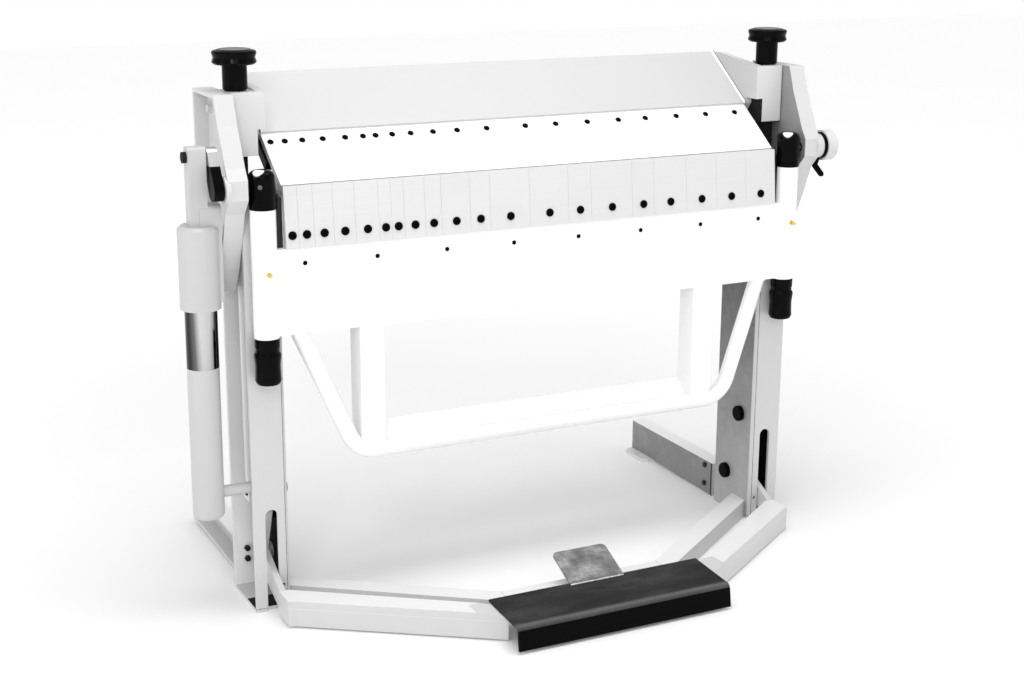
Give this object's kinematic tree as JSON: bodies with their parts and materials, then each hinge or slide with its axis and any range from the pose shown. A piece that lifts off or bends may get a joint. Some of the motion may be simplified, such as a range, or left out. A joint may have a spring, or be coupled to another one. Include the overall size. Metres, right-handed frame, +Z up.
{
  "type": "box and pan brake",
  "caption": "Foot-clamped box and pan brake: segmented fingers on a sloped clamping beam, swinging apron with handle frame, spring counterbalance and pedal on a steel stand.",
  "frame": {"origin": "on the floor under the middle of the machine's bounding box", "axes": "+X to the right along the working length, +Y to the back, +Z up"},
  "size_m": [1.651, 1.064, 1.26],
  "materials": {
    "frame_paint": "satin powder coat, pale grey",
    "white_paint": "gloss powder coat, white",
    "beam_paint": "satin powder coat, light grey",
    "ground_steel": "ground steel",
    "bare_steel": "bare sheet steel",
    "bright_steel": "bright drawn tube, painted below",
    "black_steel": "blackened steel",
    "black_fastener": "blackened screws",
    "black_plastic": "black moulded plastic",
    "black_tread": "black tread coating",
    "brass": "yellow passivated nipple",
    "light_plastic": "light grey disc"
  },
  "bodies": {
    "frame": {"stand_left": "frame_paint", "stand_right": "frame_paint", "side_plate_left": "frame_paint", "side_plate_right": "frame_paint", "bed_beam": "frame_paint", "bed_blade": "ground_steel", "rear_rail_left": "frame_paint", "rear_rail_right": "frame_paint", "foot_pads": "frame_paint", "front_frame": "frame_paint", "frame_bolts": "black_fastener", "pivot_pins": "black_steel"},
    "clamping_beam": {"upper_beam": "beam_paint", "clamp_rail": "black_steel", "finger_01": "ground_steel", "finger_02": "ground_steel", "finger_03": "ground_steel", "finger_04": "ground_steel", "finger_05": "ground_steel", "finger_06": "ground_steel", "finger_07": "ground_steel", "finger_08": "ground_steel", "finger_09": "ground_steel", "finger_10": "ground_steel", "finger_11": "ground_steel", "finger_12": "ground_steel", "finger_13": "ground_steel", "finger_14": "ground_steel", "finger_15": "ground_steel", "finger_16": "ground_steel", "finger_17": "ground_steel", "finger_18": "ground_steel", "finger_19": "ground_steel", "finger_20": "ground_steel", "finger_screws": "black_fastener", "tie_rods": "black_steel"},
    "clamp_knob_left": {"clamp_knob_left": "black_plastic"},
    "clamp_knob_right": {"clamp_knob_right": "black_plastic"},
    "pedal": {"pedal_bars": "frame_paint", "pedal_levers": "frame_paint", "tread": "black_tread", "toe_tab": "bare_steel"},
    "clamp_levers": {"clamp_levers": "black_steel"},
    "hinge": {"hinge_head_left": "black_steel", "hinge_head_right": "black_steel", "crank_arm": "black_steel"},
    "apron": {"apron_frame": "white_paint", "apron_segments": "ground_steel", "apron_screws": "black_fastener", "handle": "white_paint", "grease_nipples": "brass"},
    "adjust_knob_left": {"adjust_knob_left": "black_plastic"},
    "adjust_knob_right": {"adjust_knob_right": "black_plastic"},
    "stop_disc": {"stop_disc": "light_plastic"},
    "stop_lever": {"stop_lever": "black_steel"},
    "spring_tube": {"spring_tube": "bright_steel", "balance_spring": "black_steel"},
    "spring_housing": {"spring_housing": "frame_paint", "pull_rod": "black_steel"}
  },
  "joints": [
    {"name": "apron_swing", "type": "hinge", "parent": "frame", "child": "hinge", "pos_m": [0.0225, -0.108, 0.979], "axis": [-1, 0, 0], "range_deg": [0, 135]},
    {"name": "apron_setting", "type": "slide", "parent": "hinge", "child": "apron", "axis": [0, 0, -1], "range_m": [0, 0.008]},
    {"name": "adjust_turn_left", "type": "hinge", "parent": "apron", "child": "adjust_knob_left", "pos_m": [-0.6515, -0.111, 0.6], "axis": [0, 0, 1], "range_deg": [0, 1440]},
    {"name": "adjust_turn_right", "type": "hinge", "parent": "apron", "child": "adjust_knob_right", "pos_m": [0.6965, -0.111, 0.6], "axis": [0, 0, 1], "range_deg": [0, 1440]},
    {"name": "stop_turn", "type": "hinge", "parent": "hinge", "child": "stop_disc", "pos_m": [0.8105, -0.108, 0.979], "axis": [1, 0, 0], "range_deg": [-135, 135]},
    {"name": "stop_lever_turn", "type": "hinge", "parent": "hinge", "child": "stop_lever", "pos_m": [0.7925, -0.108, 0.979], "axis": [1, 0, 0], "range_deg": [-60, 60]},
    {"name": "pedal_swing", "type": "hinge", "parent": "frame", "child": "pedal", "pos_m": [0.0225, 0.031, 0.103], "axis": [-1, 0, 0], "range_deg": [0, 20]},
    {"name": "clamp_lever_swing", "type": "hinge", "parent": "frame", "child": "clamp_levers", "pos_m": [0.0225, -0.022, 0.276], "axis": [1, 0, 0], "range_deg": [0, 52.27]},
    {"name": "beam_lift", "type": "slide", "parent": "frame", "child": "clamping_beam", "axis": [0, 0, 1], "range_m": [0, 0.0352]},
    {"name": "clamp_turn_left", "type": "hinge", "parent": "clamping_beam", "child": "clamp_knob_left", "pos_m": [-0.663, 0.013, 1.2], "axis": [0, 0, 1], "range_deg": [-720, 720]},
    {"name": "clamp_turn_right", "type": "hinge", "parent": "clamping_beam", "child": "clamp_knob_right", "pos_m": [0.708, 0.013, 1.2], "axis": [0, 0, 1], "range_deg": [-720, 720]},
    {"name": "spring_unit_swing", "type": "hinge", "parent": "frame", "child": "spring_tube", "pos_m": [-0.7815, -0.056, 0.297], "axis": [-1, 0, 0], "range_deg": [-3, 3]},
    {"name": "spring_unit_stroke", "type": "slide", "parent": "spring_tube", "child": "spring_housing", "axis": [0, 0.0186, -0.9998], "range_m": [0, 0.145], "deforming": ["balance_spring"]}
  ],
  "couplings": [
    {"joint": "adjust_turn_left", "follows": "apron_setting", "rad_per_m": 3141.6},
    {"joint": "adjust_turn_right", "follows": "apron_setting", "rad_per_m": 3141.6},
    {"joint": "clamp_lever_swing", "follows": "pedal_swing", "ratio": 2.6036},
    {"joint": "beam_lift", "follows": "pedal_swing", "m_per_rad": 0.10027},
    {"joint": "spring_unit_swing", "follows": "apron_swing", "ratio": -0.013126},
    {"joint": "spring_unit_stroke", "follows": "apron_swing", "m_per_rad": 0.061135}
  ]
}
